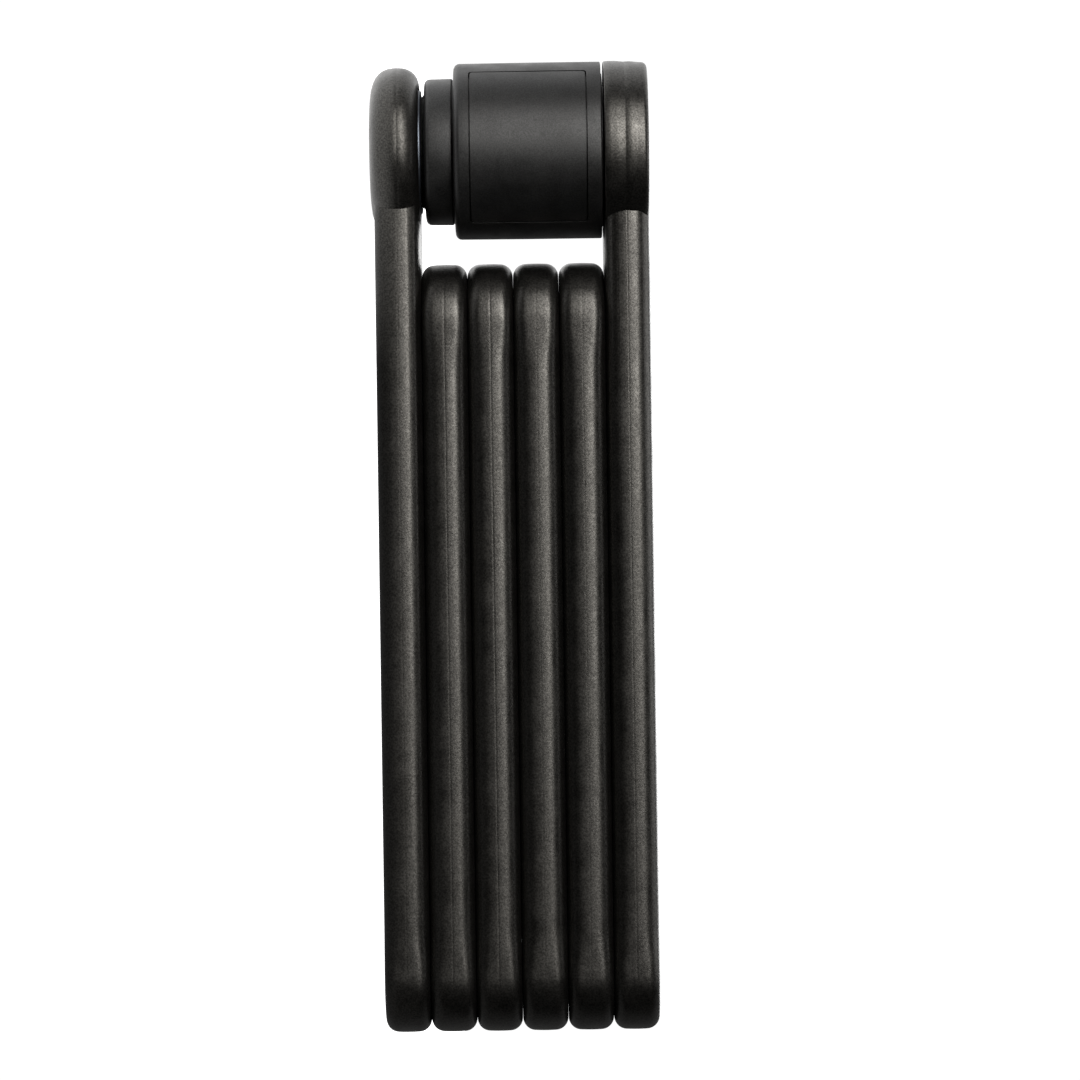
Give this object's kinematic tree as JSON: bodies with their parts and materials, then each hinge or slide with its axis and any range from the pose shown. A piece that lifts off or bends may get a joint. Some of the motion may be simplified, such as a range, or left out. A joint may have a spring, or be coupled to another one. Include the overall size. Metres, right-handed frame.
{
  "type": "folding bike lock",
  "caption": "Folding lock: flat coated steel links riveted in a zig-zag, with a swivelling cylindrical lock barrel between the heads of the outer links.",
  "frame": {"origin": "centre of the bounding box at the plane that link 1's head rests on", "axes": "+X along the folded links from the lock barrel to the foot pivots, +Y across the links away from the label side, +Z along the pivot axes from link 1 to link 6"},
  "size_m": [0.2146, 0.0392, 0.0613],
  "materials": {
    "vinyl": "satin moulded vinyl with a fine grain",
    "housing_plastic": "satin",
    "label": "satin",
    "seal": "matte",
    "steel": "hardened, plain",
    "plated": "bright zinc or nickel plate",
    "brass": "machined",
    "acetal": "satin"
  },
  "bodies": {
    "link_1": {"link_1_cover": "vinyl", "link_1_core": "steel", "rivet_1_2": "steel", "spacer_1_2": "plated", "strike_plate": "plated"},
    "link_2": {"link_2_cover": "vinyl", "link_2_core": "steel", "rivet_2_3": "steel", "spacer_2_3": "plated"},
    "link_3": {"link_3_cover": "vinyl", "link_3_core": "steel", "rivet_3_4": "steel", "spacer_3_4": "plated"},
    "link_4": {"link_4_cover": "vinyl", "link_4_core": "steel", "rivet_4_5": "steel", "spacer_4_5": "plated"},
    "link_5": {"link_5_cover": "vinyl", "link_5_core": "steel", "rivet_5_6": "steel", "spacer_5_6": "plated"},
    "link_6": {"link_6_cover": "vinyl", "link_6_core": "steel"},
    "barrel": {"neck_seal": "seal", "collar": "housing_plastic", "barrel_sleeve": "housing_plastic", "label_plate": "label", "swivel_washer": "acetal", "retaining_ring": "plated", "lock_housing": "steel", "cylinder_pin": "steel", "cylinder_body": "brass", "end_cap": "housing_plastic", "dust_cover_pin": "steel"},
    "plug": {"key_plug": "brass", "cam_sleeve": "steel"},
    "bolt": {"locking_bolt": "plated", "cross_pin": "steel"},
    "tumbler_1": {"tumbler_1": "brass"},
    "tumbler_2": {"tumbler_2": "brass"},
    "tumbler_3": {"tumbler_3": "brass"},
    "tumbler_4": {"tumbler_4": "brass"},
    "tumbler_5": {"tumbler_5": "brass"},
    "sidebar": {"sidebar": "steel"},
    "dust_cover": {"dust_cover": "plated"}
  },
  "joints": [
    {"name": "pivot_1_2", "type": "hinge", "parent": "link_1", "child": "link_2", "pos_m": [0.09433, 0, 0.01094], "axis": [0, 0, 1], "range_deg": [-180, 180]},
    {"name": "pivot_2_3", "type": "hinge", "parent": "link_2", "child": "link_3", "pos_m": [-0.04967, 0, 0.02102], "axis": [0, 0, 1], "range_deg": [-118, 118]},
    {"name": "pivot_3_4", "type": "hinge", "parent": "link_3", "child": "link_4", "pos_m": [0.09433, 0, 0.0311], "axis": [0, 0, 1], "range_deg": [-180, 180]},
    {"name": "pivot_4_5", "type": "hinge", "parent": "link_4", "child": "link_5", "pos_m": [-0.04967, 0, 0.04118], "axis": [0, 0, 1], "range_deg": [-118, 118]},
    {"name": "pivot_5_6", "type": "hinge", "parent": "link_5", "child": "link_6", "pos_m": [0.09433, 0, 0.05126], "axis": [0, 0, 1], "range_deg": [-180, 180]},
    {"name": "barrel_swivel", "type": "hinge", "parent": "link_6", "child": "barrel", "pos_m": [-0.08768, 0, 0.0563], "axis": [0, 0, 1], "continuous": true},
    {"name": "key_turn", "type": "hinge", "parent": "barrel", "child": "plug", "pos_m": [-0.08768, 0, 0.0397], "axis": [0, 0, 1], "range_deg": [0, 90]},
    {"name": "bolt_throw", "type": "slide", "parent": "barrel", "child": "bolt", "axis": [0, 0, -1], "range_m": [0, 0.007]},
    {"name": "tumbler_1_turn", "type": "hinge", "parent": "plug", "child": "tumbler_1", "pos_m": [-0.08768, 0, 0.0421], "axis": [0, 0, 1], "range_deg": [-18, 0]},
    {"name": "tumbler_2_turn", "type": "hinge", "parent": "plug", "child": "tumbler_2", "pos_m": [-0.08768, 0, 0.0447], "axis": [0, 0, 1], "range_deg": [-36, 0]},
    {"name": "tumbler_3_turn", "type": "hinge", "parent": "plug", "child": "tumbler_3", "pos_m": [-0.08768, 0, 0.0473], "axis": [0, 0, 1], "range_deg": [-27, 0]},
    {"name": "tumbler_4_turn", "type": "hinge", "parent": "plug", "child": "tumbler_4", "pos_m": [-0.08768, 0, 0.0499], "axis": [0, 0, 1], "range_deg": [-9, 0]},
    {"name": "tumbler_5_turn", "type": "hinge", "parent": "plug", "child": "tumbler_5", "pos_m": [-0.08768, 0, 0.0525], "axis": [0, 0, 1], "range_deg": [-32, 0]},
    {"name": "sidebar_drop", "type": "slide", "parent": "plug", "child": "sidebar", "axis": [0, 1, 0], "range_m": [0, 0.0008]},
    {"name": "dust_cover_swing", "type": "hinge", "parent": "barrel", "child": "dust_cover", "pos_m": [-0.08008, 0, 0.061], "axis": [0, 0, 1], "range_deg": [0, 78]}
  ],
  "couplings": [
    {"joint": "bolt_throw", "follows": "key_turn", "m_per_rad": 0.0044563},
    {"joint": "tumbler_1_turn", "follows": "key_turn", "ratio": -0.2},
    {"joint": "tumbler_2_turn", "follows": "key_turn", "ratio": -0.4},
    {"joint": "tumbler_3_turn", "follows": "key_turn", "ratio": -0.3},
    {"joint": "tumbler_4_turn", "follows": "key_turn", "ratio": -0.1},
    {"joint": "tumbler_5_turn", "follows": "key_turn", "ratio": -0.35555},
    {"joint": "sidebar_drop", "follows": "key_turn", "m_per_rad": 0.00050929}
  ]
}
